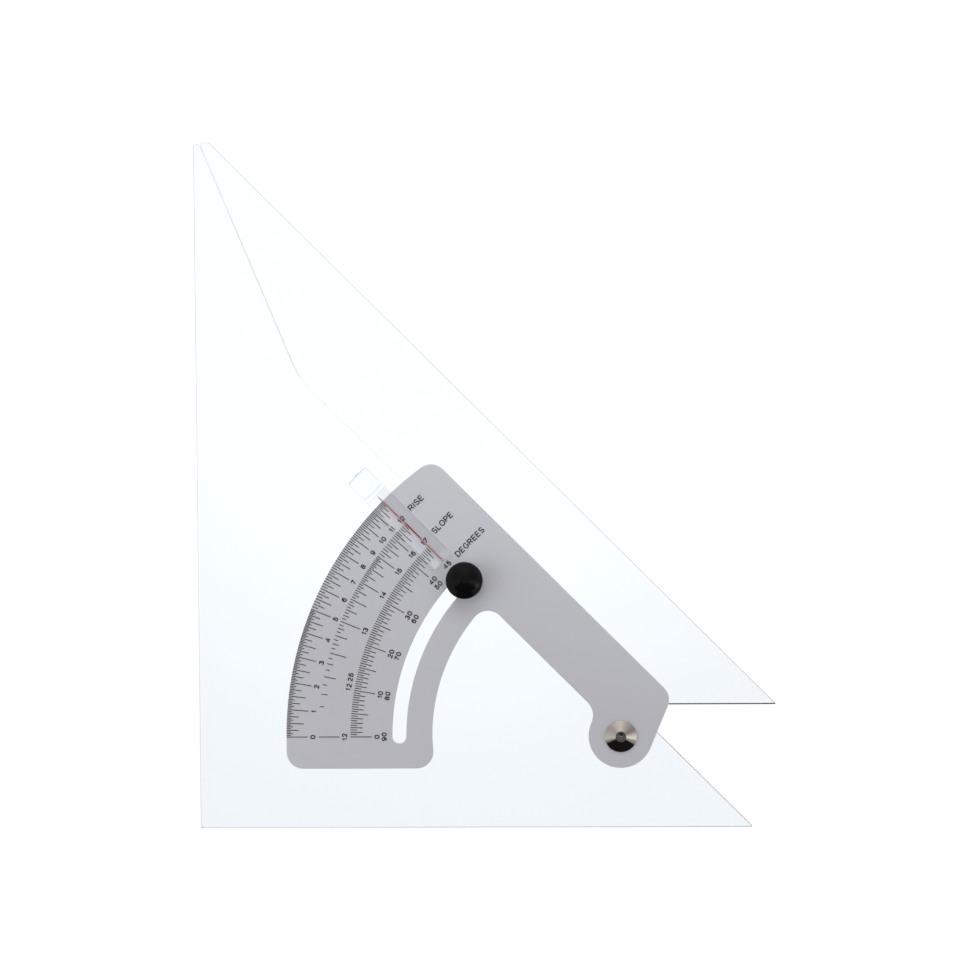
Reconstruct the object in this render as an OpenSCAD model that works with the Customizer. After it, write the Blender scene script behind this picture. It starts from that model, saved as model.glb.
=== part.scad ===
// Adjustable set square, lying on its back face, ruling edges towards -X, -Y and up-right.
// Origin: the right-angle corner on the underside. +X runs along the lower edge, +Y up the left edge.
// The arm and its scale plate turn clockwise about the pivot, from 0 (closed) to swing degrees.

/* [Base blade] */
// Length of the lower ruling edge
base_length = 207.35; // [190:0.5:225]
// Height at which the slanted edge turns steeper
bend_height = 169; // [155:0.5:180]
// Steepness of the upper slanted edge, from the horizontal, in degrees
steep_angle = 67.4; // [64:0.1:70]
// Radius where the slanted edge turns steeper
bend_r = 28; // [10:1:40]
// Radius of the top point of the base
apex_r = 1.3; // [0.8:0.1:2]
// Radius of the two acute points at the right
point_r = 0.2; // [0.1:0.1:1]
// Thickness of both clear blades
blade_t = 3; // [2.6:0.1:4]

/* [Arm blade] */
// Width of the arm, square to its ruling edge
arm_width = 38.8; // [34:0.1:44]
// Width of the arm's blunt top end
arm_cut = 3.47; // [3:0.01:5]
// Radius of the arm's top end, towards the ruling edge
arm_tip_r = 2; // [1:0.05:2.5]
// Radius of the arm's top end, towards the base
arm_cut_r = 0.7; // [0.3:0.05:0.9]
// Gap between the closed arm and the base
split_gap = 0.3; // [0.2:0.05:0.6]
// Gap left between arm and base when the arm is fully open
open_gap = 1.06; // [0.8:0.02:2]
// Travel of the arm from closed to open, in degrees
swing = 45; // [30:1:45]

/* [Pivot] */
// Height of the pivot over the lower ruling edge
pivot_height = 34.62; // [30:0.1:40]
// Distance of the pivot from the slanted edge of the base
pivot_inset = 10.53; // [9:0.1:13]
// Diameter of the rivet's shank
rivet_d = 3.7; // [3:0.1:4]
// Diameter of the rivet's head in the underside
rivet_head_d = 8; // [7:0.1:9]
// Thickness of the rivet's head
rivet_head_t = 0.6; // [0.4:0.05:0.9]
// Outer diameter of the sleeve that the plate turns on
bush_d = 5; // [4.8:0.1:6]
// Diameter of the bright cap
cap_d = 12.1; // [10:0.1:14]
// Thickness of the cap at its rim
cap_rim_t = 0.4; // [0.3:0.05:0.8]
// Height of the cap at its middle
cap_h = 1.6; // [1.2:0.1:2.4]
// Width of the flat round the cap's bore
cap_land = 0.3; // [0.2:0.05:0.6]
// Radius of the dish in the rivet's end
dish_r = 2.2; // [2.1:0.1:3]

/* [Scale plate] */
// Thickness of the scale plate
plate_t = 1.5; // [1.2:0.1:2.5]
// Radius of the graduated arc
plate_r = 125.1; // [118:0.1:128]
// Width of the arc slot
slot_w = 5.2; // [4.8:0.1:6]
// Distance from the innermost ticks to the arc slot
slot_margin = 7.8; // [6:0.1:12]
// Width of the arc band inside the slot
band_rim = 9.76; // [7:0.1:12]
// How far the plate laps over the arm
plate_lap = 13.72; // [11:0.1:16]
// Width of the plate's straight bar
bar_w = 24; // [20:0.1:24.5]
// Radius of the plate's corners
plate_corner_r = 6.3; // [4:0.1:8]
// Radius between the bar and the boss
boss_fillet_r = 7; // [4:0.1:9]
// Radius of the boss round the pivot
boss_r = 12; // [10:0.1:13]
// Steepness of the plate's cut edge beside the boss, in degrees
cut_angle = 67.6; // [60:0.1:75]
// Length of the band below the zero line
tail = 12; // [10:0.1:15]
// Lean of the band's inner edge below the zero line, in degrees
tail_lean = 3.4; // [0:0.1:6]

/* [Scales] */
// Line width of the ticks
tick_w = 0.25; // [0.2:0.01:0.3]
// Thickness of the printed ink
ink_t = 0.1; // [0.05:0.01:0.15]
// Length of the longest ticks
tick_long = 7.9; // [7:0.1:9]
// Length of the half ticks
tick_half = 6.4; // [5.5:0.1:7]
// Length of the quarter ticks
tick_quarter = 4.5; // [4:0.1:5]
// Length of the eighth ticks
tick_eighth = 2.4; // [2:0.1:3]
// Length of the sixteenth ticks
tick_sixteenth = 1.6; // [1.2:0.1:2]
// Distance of the slope scale's ticks from the plate's arc
slope_in = 12; // [11:0.1:13]
// Distance of the degree scale's ticks from the plate's arc
degree_in = 24; // [23:0.1:25]

/* [Cursor] */
// Width of the cursor
cursor_w = 9; // [7:0.1:11]
// Least distance of the foot's inner face from the plate's arc
foot_gap = 4.65; // [4:0.05:6]
// How far that face bows out towards the plate in the middle
foot_bow = 0.4; // [0.2:0.05:0.8]
// Length of the foot along the line
foot_l = 8.75; // [6:0.05:10]
// Radius of the foot's outer corners
foot_corner_r = 0.8; // [0.4:0.1:1.5]
// Gap between the knob and the free end of the tongue
knob_gap = 3.6; // [2:0.1:8]
// Thickness of the tongue along its sides
tongue_edge_t = 0.85; // [0.6:0.05:1.5]
// Rise of the tongue's crowned top above its sides, which magnifies the scale a little
tongue_crown = 0.75; // [0.3:0.05:1]
// Length of the slope at the free end of the tongue
end_slope_l = 2.4; // [1:0.1:4]
// Fall of that slope
end_slope_t = 0.5; // [0.2:0.05:0.8]
// Gap between the plate and the tongue
tongue_gap = 0.3; // [0.2:0.05:0.5]
// Height of the step from the tongue up to the foot
foot_step = 0.3; // [0.2:0.1:1]
// Distance of the step from the foot's inner face
step_in = 1.6; // [1:0.1:3]
// Width of the moulding nub on the foot's outer end
nub_w = 2; // [1:0.1:3]
// Length of the moulding nub
nub_l = 0.35; // [0.2:0.05:0.6]
// Width of the red line
line_w = 0.3; // [0.2:0.05:0.4]
// Depth of the red line in the underside of the tongue
line_t = 0.15; // [0.1:0.05:0.3]
// Distance of the red line's outer end from the foot's inner face
line_in = 2.45; // [2:0.05:5]

/* [Clamp] */
// Diameter of the knob's head
knob_d = 13.74; // [12.5:0.01:15]
// Height of the knob
knob_h = 7.5; // [7:0.1:11]
// Rise of the knob's domed top
dome_h = 2.2; // [1:0.1:3]
// Height of the plain head above the ribbed grip
head_h = 1.6; // [1:0.1:2.5]
// How far the grip stands in from the head
grip_inset = 0.3; // [0.2:0.05:0.6]
// Number of flutes in the grip
flutes = 40; // [24:1:48]
// Radius of one flute
flute_r = 0.35; // [0.25:0.05:0.4]
// Diameter of the dimple in the dome
dimple_d = 0.9; // [0.5:0.1:1.5]
// Place of the stud along the arc slot, as an angle from the slot's lower end
stud_angle = 45.5; // [45:0.1:47]
// Diameter of the stud
stud_d = 4; // [3.6:0.1:4]
// Width across the flats of the stud's head
stud_head_af = 7; // [6.5:0.1:8]
// Thickness of the stud's head
stud_head_t = 1.2; // [0.9:0.1:1.5]
// Length of thread that the knob holds on to
thread_l = 4.2; // [3:0.1:4.5]
// Outer diameter of the knob's threaded insert
insert_d = 6; // [5.6:0.1:7]
// Room left over the stud's end inside the knob
blind_gap = 0.3; // [0.2:0.1:0.5]
// Diameter of the clamp washer
washer_d = 9.5; // [8.5:0.1:9.8]
// Thickness of the clamp washer
washer_t = 0.6; // [0.4:0.1:1]

/* [Fits] */
// Gap between the base and the plate that slides over it
slide_gap = 0.1; // [0.05:0.05:0.2]
// Radial clearance of a part that turns or slides on another
running_fit = 0.05; // [0.02:0.01:0.08]
// Radial clearance of a part that is pressed or bonded in
seat_fit = 0.02; // [0.01:0.01:0.04]
// Depth by which a head lies below the underside
sink = 0.2; // [0.1:0.05:0.4]
// Clearance of the guide bush in the arc slot, each side
slot_fit = 0.1; // [0.05:0.05:0.2]

/* [Moulding marks] */
// Diameter of the two round marks in the base's underside
mark_d = 3; // [2:0.1:4]
// Depth of the marks
mark_t = 0.1; // [0.05:0.05:0.2]
// First mark, from the corner
mark_a = [7, 128.8]; // [0:0.1:200]
// Second mark, from the corner
mark_b = [29.7, 69]; // [0:0.1:200]

/* [Hidden] */

// The slanted edge runs at 45 degrees, up to the left. Its outward normal points up to the right.
slant = 135;
slant_n = slant - 90;
// Direction of the steep edge, and half the turn at the bend
steep = 180 - steep_angle;
half_bend = (slant - steep) / 2;

// Angles on the plate: the zero line of the scales points left, the cursor stands on the slant
zero_angle = 180;
pivot = [base_length - pivot_height - pivot_inset * sqrt(2), pivot_height];

// Heights of the stack, from the underside up
plate_z = blade_t + slide_gap;
plate_top = plate_z + plate_t;
tongue_z = plate_top + tongue_gap;
tongue_t = tongue_edge_t + tongue_crown;
tongue_top = tongue_z + tongue_t;
knob_z = plate_top + washer_t;

// Run that the rise and slope scales are reckoned on, and where their ranges and divisions change
run = 12;
rise_fine_end = 5;
slope_fine_end = 15;
slope_end = 17;

// Edges of the plate's straight bar, as distances from the pivot along the slant's normal
bar_out = pivot_inset + plate_lap;
bar_in = bar_out - bar_w;

// Middle of the arc slot and inner edge of the band, as distances from the pivot
slot_r = plate_r - degree_in - tick_long - slot_margin - slot_w / 2;
band_inner_r = slot_r - slot_w / 2 - band_rim;

// The foot's inner face and the tongue's free end, as distances from the pivot
foot_in_r = plate_r + foot_gap;
tongue_end_r = slot_r + knob_d / 2 + knob_gap;
tongue_l = foot_in_r - tongue_end_r;
line_l = tongue_l - line_in;

// Corners of the two blades before rounding
base_corner = [0, 0];
base_tip = [base_length, 0];
base_bend = [base_length - bend_height, bend_height];
base_apex = [0, bend_height + base_bend.x * tan(steep_angle)];
arm_foot = pivot_height + pivot_inset + open_gap;
arm_heel = [base_length + split_gap * sqrt(2) - arm_foot, arm_foot];
arm_tip = [base_length + arm_width * sqrt(2) - arm_foot, arm_foot];
arm_bend = base_bend + split_gap / cos(half_bend) * dir(slant_n - half_bend);
arm_apex = meet(arm_bend, steep, arm_tip, slant);
// The arm's top end is cut level below the apex, where the arm has the cut's width
arm_top = [0, arm_apex.y - arm_cut / (1 - 1 / tan(steep_angle))];
arm_top_out = meet(arm_top, 0, arm_tip, slant);
arm_top_in = meet(arm_top, 0, arm_bend, steep);

// Smoothness of round faces, and the step of a drawn arc in degrees
round_fn = 96;
arc_step = 1.5;
corner_step = 7.5;
// Distance by which a cutting body runs past the face it cuts
over = 1;

// Unit vector at an angle
function dir(a) = [cos(a), sin(a)];

// Fall at y from the top of an arc that rises by rise over a half width of side
function fall(side, rise, y) =
    let (r = (side * side + rise * rise) / (2 * rise))
    r - sqrt(r * r - y * y);

// Unit vector along v
function unit(v) = v / norm(v);

// Angle of a vector
function heading(v) = atan2(v.y, v.x);

// Where the line through p at angle a meets the line through q at angle b
function meet(p, a, q, b) =
    let (t = cross(q - p, dir(b)) / cross(dir(a), dir(b)))
    p + t * dir(a);

// Points along an arc about c from angle a to angle b
function arc(c, r, a, b, step) =
    let (n = max(2, ceil(abs(b - a) / step)))
    [for (i = [0:n]) c + r * dir(a + (b - a) * i / n)];

// Points of the corner at p between a and b, rounded to radius r
function corner(a, p, b, r) =
    let (
        u = unit(a - p),
        v = unit(b - p),
        half = acos(u * v) / 2,
        c = p + unit(u + v) * r / sin(half),
        start = heading(p + u * r / tan(half) - c),
        end = heading(p + v * r / tan(half) - c),
        turn = end - start - 360 * round((end - start) / 360)
    )
    arc(c, r, start, start + turn, corner_step);

function base_outline() = concat(
    [base_corner],
    corner(base_corner, base_tip, base_bend, point_r),
    corner(base_tip, base_bend, base_apex, bend_r),
    corner(base_bend, base_apex, base_corner, apex_r)
);

function arm_outline() = concat(
    [arm_heel],
    corner(arm_heel, arm_tip, arm_top_out, point_r),
    corner(arm_tip, arm_top_out, arm_top_in, arm_tip_r),
    corner(arm_top_out, arm_top_in, arm_bend, arm_cut_r),
    corner(arm_top_in, arm_bend, arm_heel, bend_r - split_gap)
);

// Centre of a circle of radius r that touches the bar's edge at distance d from its lower-left side,
// with its centre at distance reach from the pivot
function on_bar(d, r, reach) =
    let (across = d - r)
    across * dir(slant_n) + sqrt(reach * reach - across * across) * dir(slant);

// Outline of the scale plate about the pivot, counter-clockwise from the boss
function plate_outline() =
    let (
        top_c = on_bar(bar_out, plate_corner_r, plate_r - plate_corner_r),
        nose_c = on_bar(bar_in, plate_corner_r, band_inner_r - plate_corner_r),
        fillet_c = on_bar(bar_in, boss_fillet_r, boss_r + boss_fillet_r),
        cut_from = boss_r * dir(cut_angle - 90),
        cut_corner = meet(cut_from, cut_angle, bar_out * dir(slant_n), slant),
        out_top = plate_r * dir(zero_angle),
        out_foot = out_top - [0, tail],
        in_top = band_inner_r * dir(zero_angle),
        in_foot = in_top + [tail * tan(tail_lean), -tail]
    )
    concat(
        arc([0, 0], boss_r, heading(fillet_c), 360 + cut_angle - 90, corner_step),
        corner(cut_from, cut_corner, top_c + plate_corner_r * dir(slant_n), plate_corner_r),
        arc(top_c, plate_corner_r, slant_n, heading(top_c), corner_step),
        arc([0, 0], plate_r, heading(top_c) + arc_step, zero_angle, arc_step),
        corner(out_top, out_foot, in_foot, plate_corner_r),
        corner(out_foot, in_foot, in_top, plate_corner_r),
        arc([0, 0], band_inner_r, zero_angle, heading(nose_c) + arc_step, arc_step),
        arc(nose_c, plate_corner_r, heading(nose_c), slant_n, corner_step),
        arc(fillet_c, boss_fillet_r, slant_n, heading(-fillet_c), corner_step)
    );

// Moves its children to the pivot at height z
module at_pivot(z) {
    translate([pivot.x, pivot.y, z]) children();
}

// Moves its children to the clamp stud, which stands in the slot close to the line of the cursor
module at_stud(z) {
    at_pivot(z) translate(slot_r * dir(zero_angle - stud_angle)) children();
}

// A straight round bar or bore of diameter d
module rod(d, h) {
    cylinder(d = d, h = h, $fn = round_fn);
}

// A ring of outer diameter d and bore b
module ring(d, b, h) {
    difference() {
        rod(d, h);
        translate([0, 0, -over]) rod(b, h + 2 * over);
    }
}

// A curved slot of width w about the origin, from angle a to angle b, with round ends
module arc_slot(r, w, a, b, h) {
    rotate([0, 0, a])
        rotate_extrude(angle = b - a, $fn = 4 * round_fn)
            translate([r - w / 2, 0]) square([w, h]);
    for (end = [a, b])
        rotate([0, 0, end]) translate([r, 0, 0]) rod(w, h);
}

// The clear base. Heads of the rivet and the stud lie in its underside.
module base_blade() {
    color([0.90, 0.95, 0.98, 0.5])
        difference() {
            linear_extrude(height = blade_t) polygon(base_outline());
            at_pivot(-over) rod(rivet_head_d + 2 * seat_fit, over + sink + rivet_head_t);
            at_pivot(-over) rod(bush_d + 2 * seat_fit, blade_t + 2 * over);
            at_stud(-over) stud_hex(stud_head_af + 2 * seat_fit, over + sink + stud_head_t);
            at_stud(-over) rod(stud_d + 2 * seat_fit, blade_t + 2 * over);
            for (mark = [mark_a, mark_b])
                translate([mark.x, mark.y, -over]) rod(mark_d, over + mark_t);
        }
}

// The clear arm, with a raised land where the plate is bonded on
module arm_blade() {
    color([0.90, 0.95, 0.98, 0.5])
        union() {
            linear_extrude(height = blade_t) polygon(arm_outline());
            intersection() {
                linear_extrude(height = plate_z) polygon(arm_outline());
                at_pivot(0) linear_extrude(height = plate_z) polygon(plate_outline());
            }
        }
}

// The grey plate with its arc slot and the bore that turns on the bush
module scale_plate() {
    color([0.72, 0.72, 0.74, 0.9])
        at_pivot(plate_z)
            difference() {
                linear_extrude(height = plate_t) polygon(plate_outline());
                translate([0, 0, -over])
                    rod(bush_d + 2 * running_fit, plate_t + 2 * over);
                translate([0, 0, -over])
                    arc_slot(slot_r, slot_w, zero_angle - stud_angle, zero_angle, plate_t + 2 * over);
            }
}

// One radial tick at an angle from the zero line, hanging inwards from radius r
module tick(angle, r, len) {
    rotate([0, 0, zero_angle - angle])
        translate([r - len, -tick_w / 2, 0])
            cube([len, tick_w, ink_t]);
}

// Length of the tick at value v, from the coarsest division that it falls on
function tick_len(v) =
    v == floor(v) ? tick_long :
    2 * v == floor(2 * v) ? tick_half :
    4 * v == floor(4 * v) ? tick_quarter :
    8 * v == floor(8 * v) ? tick_eighth : tick_sixteenth;

// Values of a scale that is divided in sixteenths up to fine_end and in eighths beyond it
function scale_values(first, fine_end, last) = concat(
    [for (v = [first:1/16:fine_end]) v],
    [for (v = [fine_end + 1/8:1/8:last]) v]
);

// Outer scale: the rise over the run, at atan(rise / run)
module rise_marks() {
    color([0.15, 0.15, 0.17])
        at_pivot(plate_top)
            for (rise = scale_values(0, rise_fine_end, run))
                tick(atan(rise / run), plate_r, tick_len(rise));
}

// Middle scale: the slope length over the run, at acos(run / slope)
module slope_marks() {
    color([0.15, 0.15, 0.17])
        at_pivot(plate_top)
            for (slope = scale_values(run, slope_fine_end, slope_end))
                tick(acos(run / slope), plate_r - slope_in, tick_len(slope));
}

// Inner scale: half degrees, with longer ticks at 1, 5 and 10 degrees
module degree_marks() {
    color([0.15, 0.15, 0.17])
        at_pivot(plate_top)
            for (half = [0:2 * swing]) {
                len = half % 20 == 0 ? tick_long : half % 10 == 0 ? tick_half :
                    half % 2 == 0 ? tick_quarter : tick_eighth;
                tick(half / 2, plate_r - degree_in, len);
            }
}

// Outline of the foot seen from above, with its rounded outer end, along +X from the pivot
module foot_plan(from, h) {
    to = foot_in_r + foot_l;
    side = cursor_w / 2;
    linear_extrude(height = h)
        polygon(concat(
            [[from, -side]],
            corner([from, -side], [to, -side], [to, side], foot_corner_r),
            corner([to, -side], [to, side], [from, side], foot_corner_r),
            [[from, side]]
        ));
}

// Room under the tongue for the plate, up to the foot's bowed inner face
module foot_relief(from, h) {
    side = cursor_w / 2;
    reach = side + over;
    linear_extrude(height = h)
        polygon(concat(
            [[from, reach], [from, -reach]],
            [for (i = [-9:9]) let (y = reach * i / 9) [foot_in_r + fall(side, foot_bow, y), y]]
        ));
}

// Tongue with a crowned top, which slopes down at the free end
module tongue() {
    side = cursor_w / 2;
    intersection() {
        translate([tongue_end_r - over, 0, tongue_z])
            rotate([90, 0, 90])
                linear_extrude(height = tongue_l + over)
                    polygon(concat(
                        [[-side, 0], [side, 0]],
                        [for (i = [8:-1:-8]) let (y = side * i / 8) [y, tongue_t - fall(side, tongue_crown, y)]]
                    ));
        translate([0, side + over, tongue_z])
            rotate([90, 0, 0])
                linear_extrude(height = cursor_w + 2 * over)
                    polygon([
                        [tongue_end_r, -over],
                        [foot_in_r + over, -over],
                        [foot_in_r + over, tongue_t + over],
                        [tongue_end_r + end_slope_l * (1 + over / end_slope_t), tongue_t + over],
                        [tongue_end_r, tongue_t - end_slope_t]
                    ]);
    }
}

// Clear index block: a foot bonded to the base outside the arc, and a tongue that reaches over the plate
module cursor() {
    color([0.92, 0.96, 0.99, 0.5])
        at_pivot(0)
            rotate([0, 0, slant])
                difference() {
                    union() {
                        translate([0, 0, blade_t])
                            foot_plan(foot_in_r - step_in, tongue_top + foot_step - blade_t);
                        tongue();
                        translate([foot_in_r + foot_l - over, -nub_w / 2, blade_t])
                            cube([over + nub_l, nub_w, tongue_t]);
                    }
                    translate([0, 0, blade_t - over])
                        foot_relief(foot_in_r - step_in - over, over + tongue_z - blade_t);
                    translate([tongue_end_r - over, -line_w / 2, tongue_z - over])
                        cube([over + line_l, line_w, over + line_t]);
                }
}

// Red line that fills the groove in the tongue's underside
module hairline() {
    color([0.78, 0.15, 0.12])
        at_pivot(tongue_z)
            rotate([0, 0, slant])
                translate([tongue_end_r, -line_w / 2, 0])
                    cube([line_l, line_w, line_t]);
}

// Rivet: head in the underside, shank through bush and cap, dished end that shows as the button
module pivot_rivet() {
    end_z = plate_top + running_fit + cap_h;
    color([0.62, 0.61, 0.58])
        difference() {
            union() {
                at_pivot(sink) rod(rivet_head_d, rivet_head_t);
                at_pivot(sink) rod(rivet_d, end_z - sink);
            }
            at_pivot(end_z + 0.8 * dish_r) sphere(r = dish_r, $fn = round_fn);
        }
}

// Sleeve pressed into the base. The plate turns on it and the cap rests on its end.
module pivot_bush() {
    foot = sink + rivet_head_t;
    color([0.80, 0.68, 0.38])
        at_pivot(foot) ring(bush_d, rivet_d + 2 * seat_fit, plate_top + running_fit - foot);
}

// Turned conical cap, held down by the rivet, just clear of the plate
module pivot_cap() {
    bore_r = rivet_d / 2 + seat_fit;
    rim_r = cap_d / 2;
    color([0.78, 0.76, 0.72])
        at_pivot(plate_top + running_fit)
            rotate_extrude($fn = round_fn)
                polygon([
                    [bore_r, 0],
                    [rim_r, 0],
                    [rim_r, cap_rim_t],
                    [bore_r + cap_land, cap_h],
                    [bore_r, cap_h]
                ]);
}

// Round bar of radius r with flutes all round, cut to half their radius
module fluted_rod(r, h) {
    difference() {
        rod(2 * r, h);
        for (i = [0:flutes - 1])
            rotate([0, 0, i * 360 / flutes])
                translate([r + flute_r / 2, 0, -over])
                    cylinder(r = flute_r, h = h + 2 * over, $fn = 24);
    }
}

// Black knob: smooth domed head over a fluted grip, bored from below for its insert
module lock_knob() {
    r = knob_d / 2;
    grip_r = r - grip_inset;
    grip_h = knob_h - dome_h - head_h;
    dome_r = (r * r + dome_h * dome_h) / (2 * dome_h);
    color([0.06, 0.06, 0.07])
        at_stud(knob_z)
            difference() {
                union() {
                    fluted_rod(grip_r, grip_h + head_h / 2);
                    intersection() {
                        translate([0, 0, grip_h]) rod(knob_d, knob_h - grip_h);
                        translate([0, 0, knob_h - dome_r]) sphere(r = dome_r, $fn = 2 * round_fn);
                    }
                }
                translate([0, 0, -over])
                    rod(insert_d + 2 * seat_fit, over + thread_l + blind_gap);
                translate([0, 0, knob_h]) sphere(d = dimple_d, $fn = 32);
            }
}

// Threaded metal insert in the knob
module knob_insert() {
    color([0.80, 0.68, 0.38])
        at_stud(knob_z) ring(insert_d, stud_d + 2 * running_fit, thread_l + blind_gap);
}

// Six-sided body, af across its flats
module stud_hex(af, h) {
    cylinder(d = af / cos(30), h = h, $fn = 6);
}

// Stud: six-sided head let into the underside, shank up through the slot into the knob
module lock_stud() {
    color([0.66, 0.67, 0.69])
        union() {
            at_stud(sink) stud_hex(stud_head_af, stud_head_t);
            at_stud(sink) rod(stud_d, knob_z + thread_l - sink);
        }
}

// Sleeve on the stud that keeps it up and runs in the arc slot, a little lower than the plate's face
module guide_bush() {
    color([0.80, 0.68, 0.38])
        at_stud(blade_t)
            ring(slot_w - 2 * slot_fit, stud_d + 2 * seat_fit, plate_top - blade_t - sink);
}

// Washer that bridges the slot and presses the plate
module clamp_washer() {
    color([0.66, 0.67, 0.69])
        at_stud(plate_top) ring(washer_d, stud_d + 2 * running_fit, washer_t);
}

base_blade();
arm_blade();
scale_plate();
rise_marks();
slope_marks();
degree_marks();
cursor();
hairline();
pivot_rivet();
pivot_bush();
pivot_cap();
lock_knob();
knob_insert();
lock_stud();
guide_bush();
clamp_washer();
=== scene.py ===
import math

import bmesh
import bpy
from mathutils import Euler, Matrix, Vector


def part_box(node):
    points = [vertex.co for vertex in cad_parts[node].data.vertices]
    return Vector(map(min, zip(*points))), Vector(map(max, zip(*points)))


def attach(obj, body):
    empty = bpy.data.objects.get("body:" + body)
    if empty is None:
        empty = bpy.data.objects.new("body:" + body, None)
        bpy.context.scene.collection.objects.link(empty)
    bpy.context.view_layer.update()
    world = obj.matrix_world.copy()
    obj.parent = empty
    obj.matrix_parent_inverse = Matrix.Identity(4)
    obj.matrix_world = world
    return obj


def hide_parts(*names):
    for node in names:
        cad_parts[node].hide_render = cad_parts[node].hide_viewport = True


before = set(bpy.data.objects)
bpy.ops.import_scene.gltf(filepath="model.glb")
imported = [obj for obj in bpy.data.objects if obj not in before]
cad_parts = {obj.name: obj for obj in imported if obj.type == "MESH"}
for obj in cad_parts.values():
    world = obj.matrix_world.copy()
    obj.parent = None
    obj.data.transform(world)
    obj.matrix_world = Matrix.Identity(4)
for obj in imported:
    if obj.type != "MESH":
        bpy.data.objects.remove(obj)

MM = 0.001

# Axes of the turned parts, and heights of the stack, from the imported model
pivot_low, pivot_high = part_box("pivot_cap")
PIVOT = Vector(((pivot_low.x + pivot_high.x) / 2, (pivot_low.y + pivot_high.y) / 2, 0))
knob_low, knob_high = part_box("lock_knob")
STUD = Vector(((knob_low.x + knob_high.x) / 2, (knob_low.y + knob_high.y) / 2, 0))
BLADE_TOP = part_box("base_blade")[1].z
PLATE_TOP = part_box("scale_plate")[1].z
INK_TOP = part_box("rise_marks")[1].z
ARM_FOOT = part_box("arm_blade")[0].y

# Lift that keeps flat faces of two pieces from sharing a plane, and distance below which points are one
HAIR = 0.01 * MM
SAME = 1e-6

# Rounding of the rims of the base, of arm and plate, and of small parts
BASE_EASE = 0.15 * MM
ARM_EASE = 0.18 * MM
FINE_EASE = 0.12 * MM

# Width of the printing pen, heights of figures and words, and gap between letters as a share of height
PEN = 0.36 * MM
FIGURE_HEIGHT = 1.9 * MM
WORD_HEIGHT = 2.3 * MM
LETTER_GAP = 0.13

# Rise of the clamp's thread in one turn
THREAD_PITCH = 0.7 * MM

# Radii of the rows of figures, as read off the printed scales, and the run of the rise and slope scales
RISE_ROW = 115.2 * MM
SLOPE_ROW = 103.3 * MM
DEGREE_ROW = 91.2 * MM
BACK_ROW = 88.5 * MM
RUN = 12


class Level:
    """A number that varies over a surface. Each operator adds one Math node."""

    def __init__(self, board, socket):
        self.board, self.socket = board, socket

    def math(self, operation, *terms):
        made = self.board.node("ShaderNodeMath", {"operation": operation}, dict(enumerate(terms)))
        return Level(self.board, made.outputs[0])

    def __add__(self, other):
        return self.math("ADD", self, other)

    def __radd__(self, other):
        return self.math("ADD", other, self)

    def __sub__(self, other):
        return self.math("SUBTRACT", self, other)

    def __rsub__(self, other):
        return self.math("SUBTRACT", other, self)

    def __mul__(self, other):
        return self.math("MULTIPLY", self, other)

    def __rmul__(self, other):
        return self.math("MULTIPLY", other, self)

    def __truediv__(self, other):
        return self.math("DIVIDE", self, other)

    def __pow__(self, other):
        return self.math("POWER", self, other)

    def __abs__(self):
        return self.math("ABSOLUTE", self)

    def between(self, low, high):
        """0 below low, 1 above high, and a smooth step from one to the other."""
        made = self.board.node(
            "ShaderNodeMapRange",
            {"interpolation_type": "SMOOTHSTEP"},
            {"Value": self, "From Min": low, "From Max": high},
        )
        return Level(self.board, made.outputs[0])


class Board:
    """A node tree that is filled through one method."""

    def __init__(self, tree):
        self.tree = tree
        tree.nodes.clear()

    def node(self, kind, settings=None, sockets=None):
        """A new node with its settings, and with a value or a link for each named socket."""
        made = self.tree.nodes.new(kind)
        for name, value in (settings or {}).items():
            if name == "stops":
                self.set_stops(made.color_ramp, value)
            else:
                setattr(made, name, value)
        for name, value in (sockets or {}).items():
            value = getattr(value, "socket", value)
            if isinstance(value, bpy.types.NodeSocket):
                self.tree.links.new(value, made.inputs[name])
            else:
                made.inputs[name].default_value = value
        return made

    def mix(self, share, one, other):
        """One colour where share is 0, and the other where it is 1."""
        sockets = {0: share, 6: one, 7: other}
        return self.node("ShaderNodeMix", {"data_type": "RGBA"}, sockets).outputs[2]

    @staticmethod
    def set_stops(ramp, stops):
        while len(ramp.elements) < len(stops):
            ramp.elements.new(0.5)
        for element, (position, colour) in zip(ramp.elements, stops):
            element.position = position
            element.color = (*colour, 1)


class Finish(Board):
    """A procedural material. Its patterns read Object coordinates in metres."""

    def __init__(self, name, centre=None):
        self.material = bpy.data.materials.new(name)
        self.material.use_nodes = True
        super().__init__(self.material.node_tree)
        coordinates = self.node("ShaderNodeTexCoord")
        self.facing = coordinates.outputs["Normal"]
        self.where = coordinates.outputs["Object"]
        if centre is not None:
            self.where = self.moved(-centre, (1, 1, 1))

    def moved(self, shift, stretch):
        sockets = {"Vector": self.where, "Location": shift, "Scale": stretch}
        return self.node("ShaderNodeMapping", None, sockets).outputs[0]

    def along(self, vector):
        """The three parts of a vector, each as a Level."""
        parts = self.node("ShaderNodeSeparateXYZ", None, {0: vector}).outputs
        return [Level(self, part) for part in parts]

    def grain(self, scale, detail=3.0, stretch=None):
        """Noise from 0 to 1, with about scale features in a metre."""
        place = self.moved((0, 0, 0), stretch) if stretch else self.where
        sockets = {"Vector": place, "Scale": scale, "Detail": detail}
        return Level(self, self.node("ShaderNodeTexNoise", None, sockets).outputs[0])

    def radius(self):
        """Distance from the upright axis through the finish's centre."""
        x, y, _ = self.along(self.where)
        return (x * x + y * y) ** 0.5

    def bump(self, height, depth):
        """Relief of a height from 0 to 1, depth metres high."""
        sockets = {"Height": height, "Distance": depth}
        return self.node("ShaderNodeBump", None, sockets).outputs[0]

    def surface(self, sockets):
        shader = self.node("ShaderNodeBsdfPrincipled", None, sockets).outputs[0]
        self.node("ShaderNodeOutputMaterial", None, {"Surface": shader})
        return self.material


def colour(red, green, blue):
    return (red, green, blue, 1)


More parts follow.
